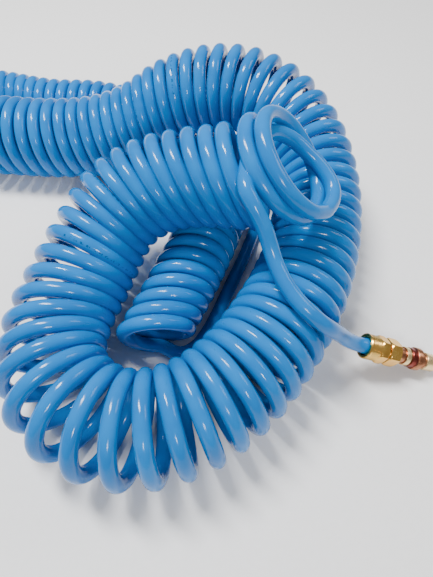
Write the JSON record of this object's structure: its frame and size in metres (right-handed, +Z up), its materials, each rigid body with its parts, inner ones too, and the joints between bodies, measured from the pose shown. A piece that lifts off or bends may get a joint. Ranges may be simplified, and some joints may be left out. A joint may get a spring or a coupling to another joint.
{
  "type": "coiled air hose",
  "caption": "Self-retracting air hose wound as a coil and lying in a loop, with a brass plug on one end and a sleeve-locked quick-release socket on the other.",
  "frame": {"origin": "centre of the whole part's footprint, on the surface it lies on", "axes": "+Z up from the surface, +X along the longer side of the footprint towards the plug, +Y away from the front loop"},
  "size_m": [0.371, 0.324, 0.1155],
  "materials": {
    "hose_pu": "glossy, slightly see-through blue polyurethane",
    "brass_nut": "bright turned brass",
    "brass_body": "turned brass",
    "brass_plug": "darker, copper-brown turned brass",
    "nitrile": "matt black nitrile rubber",
    "steel": "bright spring steel"
  },
  "bodies": {
    "hose": {"hose_coil": "hose_pu", "hose_plug_tail": "hose_pu", "hose_socket_tail": "hose_pu", "plug_hose_end": "hose_pu", "plug_lock_nut": "brass_nut", "plug_hose_stem": "brass_body", "plug_seal_washer": "nitrile", "plug_nipple": "brass_plug", "socket_hose_end": "hose_pu", "socket_lock_nut": "brass_nut", "socket_hose_stem": "brass_body", "socket_seal_washer": "nitrile", "socket_rear_body": "brass_body", "socket_front_body": "brass_body", "body_o_ring": "nitrile", "packing_seal": "nitrile", "sleeve_spring": "steel", "sleeve_stop_ring": "steel", "valve_spring": "steel"},
    "sleeve": {"sliding_sleeve": "brass_nut"},
    "valve": {"valve_poppet": "brass_body", "valve_o_ring": "nitrile"},
    "ball_1": {"lock_ball_1": "steel"},
    "ball_2": {"lock_ball_2": "steel"},
    "ball_3": {"lock_ball_3": "steel"},
    "ball_4": {"lock_ball_4": "steel"}
  },
  "joints": [
    {"name": "sleeve_slide", "type": "slide", "parent": "hose", "child": "sleeve", "axis": [0, -1, 0], "range_m": [0, 0.004], "stiffness_N_per_m": 900, "springref_m": -0.003, "deforming": ["sleeve_spring"]},
    {"name": "valve_slide", "type": "slide", "parent": "hose", "child": "valve", "axis": [0, -1, 0], "range_m": [0, 0.004], "stiffness_N_per_m": 700, "springref_m": -0.003, "deforming": ["valve_spring"]},
    {"name": "ball_1_slide", "type": "slide", "parent": "hose", "child": "ball_1", "axis": [0.7071, 0, -0.7071], "range_m": [0, 0.001]},
    {"name": "ball_2_slide", "type": "slide", "parent": "hose", "child": "ball_2", "axis": [-0.7071, 0, -0.7071], "range_m": [0, 0.001]},
    {"name": "ball_3_slide", "type": "slide", "parent": "hose", "child": "ball_3", "axis": [-0.7071, 0, 0.7071], "range_m": [0, 0.001]},
    {"name": "ball_4_slide", "type": "slide", "parent": "hose", "child": "ball_4", "axis": [0.7071, 0, 0.7071], "range_m": [0, 0.001]}
  ],
  "couplings": [
    {"joint": "ball_1_slide", "follows": "sleeve_slide", "ratio": 0.25},
    {"joint": "ball_2_slide", "follows": "sleeve_slide", "ratio": 0.25},
    {"joint": "ball_3_slide", "follows": "sleeve_slide", "ratio": 0.25},
    {"joint": "ball_4_slide", "follows": "sleeve_slide", "ratio": 0.25}
  ]
}
